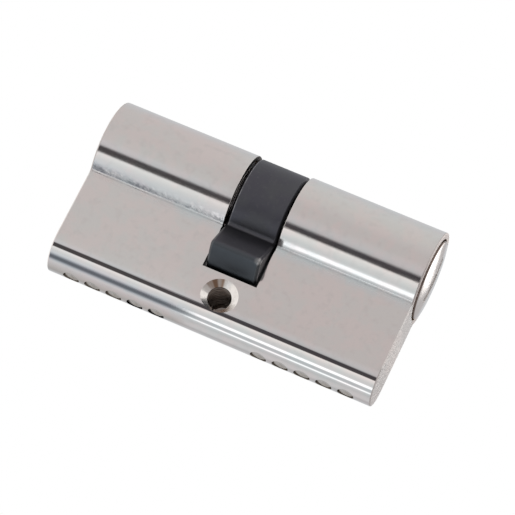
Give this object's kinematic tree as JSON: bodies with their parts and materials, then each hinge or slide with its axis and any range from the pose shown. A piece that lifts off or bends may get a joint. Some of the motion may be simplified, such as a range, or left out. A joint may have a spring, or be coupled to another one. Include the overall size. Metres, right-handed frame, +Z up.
{
  "type": "euro profile cylinder",
  "caption": "Double euro profile lock cylinder with a blackened cam between two key plugs, sprung pin stacks and a fixing-screw hole.",
  "frame": {"origin": "the middle of the fixing-screw hole: on the leg's mid-plane, half way along the body and 19 mm below the barrel's axis", "axes": "+X along the cylinder towards the right key plug, +Z up from the leg to the barrel, -Y out of the side that the cam's nose leans to"},
  "size_m": [0.0613, 0.0176, 0.033],
  "materials": {
    "body_nickel": "satin nickel plate over a cast body",
    "plug_nickel": "bright turned nickel",
    "cam_black": "satin black oxide, worn bright at the edges",
    "spring_steel": "drawn spring steel",
    "steel": "ground steel",
    "pin_brass": "turned brass",
    "plug_brass": "turned brass under a thin nickel plate"
  },
  "bodies": {
    "body": {"housing": "body_nickel", "chamber_plug_right_1": "plug_brass", "chamber_plug_right_2": "plug_brass", "chamber_plug_right_3": "plug_brass", "chamber_plug_right_4": "plug_brass", "chamber_plug_right_5": "plug_brass", "chamber_plug_left_1": "plug_brass", "chamber_plug_left_2": "plug_brass", "chamber_plug_left_3": "plug_brass", "chamber_plug_left_4": "plug_brass", "chamber_plug_left_5": "plug_brass", "spring_right_1": "spring_steel", "spring_right_2": "spring_steel", "spring_right_3": "spring_steel", "spring_right_4": "spring_steel", "spring_right_5": "spring_steel", "spring_left_1": "spring_steel", "spring_left_2": "spring_steel", "spring_left_3": "spring_steel", "spring_left_4": "spring_steel", "spring_left_5": "spring_steel"},
    "plug_right": {"plug_right": "plug_nickel", "circlip_right": "spring_steel"},
    "plug_left": {"plug_left": "plug_nickel", "circlip_left": "spring_steel"},
    "cam": {"cam": "cam_black"},
    "clutch": {"clutch_dog": "steel", "clutch_pin": "spring_steel"},
    "key_pin_right_1": {"key_pin_right_1": "pin_brass"},
    "key_pin_right_2": {"key_pin_right_2": "pin_brass"},
    "key_pin_right_3": {"key_pin_right_3": "pin_brass"},
    "key_pin_right_4": {"key_pin_right_4": "pin_brass"},
    "key_pin_right_5": {"key_pin_right_5": "pin_brass"},
    "key_pin_left_1": {"key_pin_left_1": "pin_brass"},
    "key_pin_left_2": {"key_pin_left_2": "pin_brass"},
    "key_pin_left_3": {"key_pin_left_3": "pin_brass"},
    "key_pin_left_4": {"key_pin_left_4": "pin_brass"},
    "key_pin_left_5": {"key_pin_left_5": "pin_brass"},
    "driver_pin_right_1": {"driver_pin_right_1": "steel"},
    "driver_pin_right_2": {"driver_pin_right_2": "steel"},
    "driver_pin_right_3": {"driver_pin_right_3": "steel"},
    "driver_pin_right_4": {"driver_pin_right_4": "steel"},
    "driver_pin_right_5": {"driver_pin_right_5": "steel"},
    "driver_pin_left_1": {"driver_pin_left_1": "steel"},
    "driver_pin_left_2": {"driver_pin_left_2": "steel"},
    "driver_pin_left_3": {"driver_pin_left_3": "steel"},
    "driver_pin_left_4": {"driver_pin_left_4": "steel"},
    "driver_pin_left_5": {"driver_pin_left_5": "steel"}
  },
  "joints": [
    {"name": "plug_right_turn", "type": "hinge", "parent": "body", "child": "plug_right", "pos_m": [0.0175, 0, 0.019], "axis": [1, 0, 0], "continuous": true},
    {"name": "plug_left_turn", "type": "hinge", "parent": "body", "child": "plug_left", "pos_m": [-0.0175, 0, 0.019], "axis": [1, 0, 0], "continuous": true},
    {"name": "cam_turn", "type": "hinge", "parent": "body", "child": "cam", "pos_m": [0, 0, 0.019], "axis": [1, 0, 0], "continuous": true},
    {"name": "clutch_slide", "type": "slide", "parent": "cam", "child": "clutch", "axis": [1, 0, 0], "range_m": [-0.0032, 0]},
    {"name": "key_pin_right_1_slide", "type": "slide", "parent": "plug_right", "child": "key_pin_right_1", "axis": [0, 0, 1], "range_m": [0, 0.0032]},
    {"name": "key_pin_right_2_slide", "type": "slide", "parent": "plug_right", "child": "key_pin_right_2", "axis": [0, 0, 1], "range_m": [0, 0.002]},
    {"name": "key_pin_right_3_slide", "type": "slide", "parent": "plug_right", "child": "key_pin_right_3", "axis": [0, 0, 1], "range_m": [0, 0.0026]},
    {"name": "key_pin_right_4_slide", "type": "slide", "parent": "plug_right", "child": "key_pin_right_4", "axis": [0, 0, 1], "range_m": [0, 0.0016]},
    {"name": "key_pin_right_5_slide", "type": "slide", "parent": "plug_right", "child": "key_pin_right_5", "axis": [0, 0, 1], "range_m": [0, 0.0029]},
    {"name": "key_pin_left_1_slide", "type": "slide", "parent": "plug_left", "child": "key_pin_left_1", "axis": [0, 0, 1], "range_m": [0, 0.0032]},
    {"name": "key_pin_left_2_slide", "type": "slide", "parent": "plug_left", "child": "key_pin_left_2", "axis": [0, 0, 1], "range_m": [0, 0.002]},
    {"name": "key_pin_left_3_slide", "type": "slide", "parent": "plug_left", "child": "key_pin_left_3", "axis": [0, 0, 1], "range_m": [0, 0.0026]},
    {"name": "key_pin_left_4_slide", "type": "slide", "parent": "plug_left", "child": "key_pin_left_4", "axis": [0, 0, 1], "range_m": [0, 0.0016]},
    {"name": "key_pin_left_5_slide", "type": "slide", "parent": "plug_left", "child": "key_pin_left_5", "axis": [0, 0, 1], "range_m": [0, 0.0029]},
    {"name": "driver_pin_right_1_slide", "type": "slide", "parent": "body", "child": "driver_pin_right_1", "axis": [0, 0, -1], "range_m": [0, 0.0025], "stiffness_N_per_m": 20, "springref_m": -0.0005, "deforming": ["spring_right_1"]},
    {"name": "driver_pin_right_2_slide", "type": "slide", "parent": "body", "child": "driver_pin_right_2", "axis": [0, 0, -1], "range_m": [0, 0.0025], "stiffness_N_per_m": 20, "springref_m": -0.0005, "deforming": ["spring_right_2"]},
    {"name": "driver_pin_right_3_slide", "type": "slide", "parent": "body", "child": "driver_pin_right_3", "axis": [0, 0, -1], "range_m": [0, 0.0025], "stiffness_N_per_m": 20, "springref_m": -0.0005, "deforming": ["spring_right_3"]},
    {"name": "driver_pin_right_4_slide", "type": "slide", "parent": "body", "child": "driver_pin_right_4", "axis": [0, 0, -1], "range_m": [0, 0.0025], "stiffness_N_per_m": 20, "springref_m": -0.0005, "deforming": ["spring_right_4"]},
    {"name": "driver_pin_right_5_slide", "type": "slide", "parent": "body", "child": "driver_pin_right_5", "axis": [0, 0, -1], "range_m": [0, 0.0025], "stiffness_N_per_m": 20, "springref_m": -0.0005, "deforming": ["spring_right_5"]},
    {"name": "driver_pin_left_1_slide", "type": "slide", "parent": "body", "child": "driver_pin_left_1", "axis": [0, 0, -1], "range_m": [0, 0.0025], "stiffness_N_per_m": 20, "springref_m": -0.0005, "deforming": ["spring_left_1"]},
    {"name": "driver_pin_left_2_slide", "type": "slide", "parent": "body", "child": "driver_pin_left_2", "axis": [0, 0, -1], "range_m": [0, 0.0025], "stiffness_N_per_m": 20, "springref_m": -0.0005, "deforming": ["spring_left_2"]},
    {"name": "driver_pin_left_3_slide", "type": "slide", "parent": "body", "child": "driver_pin_left_3", "axis": [0, 0, -1], "range_m": [0, 0.0025], "stiffness_N_per_m": 20, "springref_m": -0.0005, "deforming": ["spring_left_3"]},
    {"name": "driver_pin_left_4_slide", "type": "slide", "parent": "body", "child": "driver_pin_left_4", "axis": [0, 0, -1], "range_m": [0, 0.0025], "stiffness_N_per_m": 20, "springref_m": -0.0005, "deforming": ["spring_left_4"]},
    {"name": "driver_pin_left_5_slide", "type": "slide", "parent": "body", "child": "driver_pin_left_5", "axis": [0, 0, -1], "range_m": [0, 0.0025], "stiffness_N_per_m": 20, "springref_m": -0.0005, "deforming": ["spring_left_5"]}
  ],
  "couplings": [
    {"joint": "cam_turn", "follows": "plug_right_turn", "ratio": 1}
  ]
}
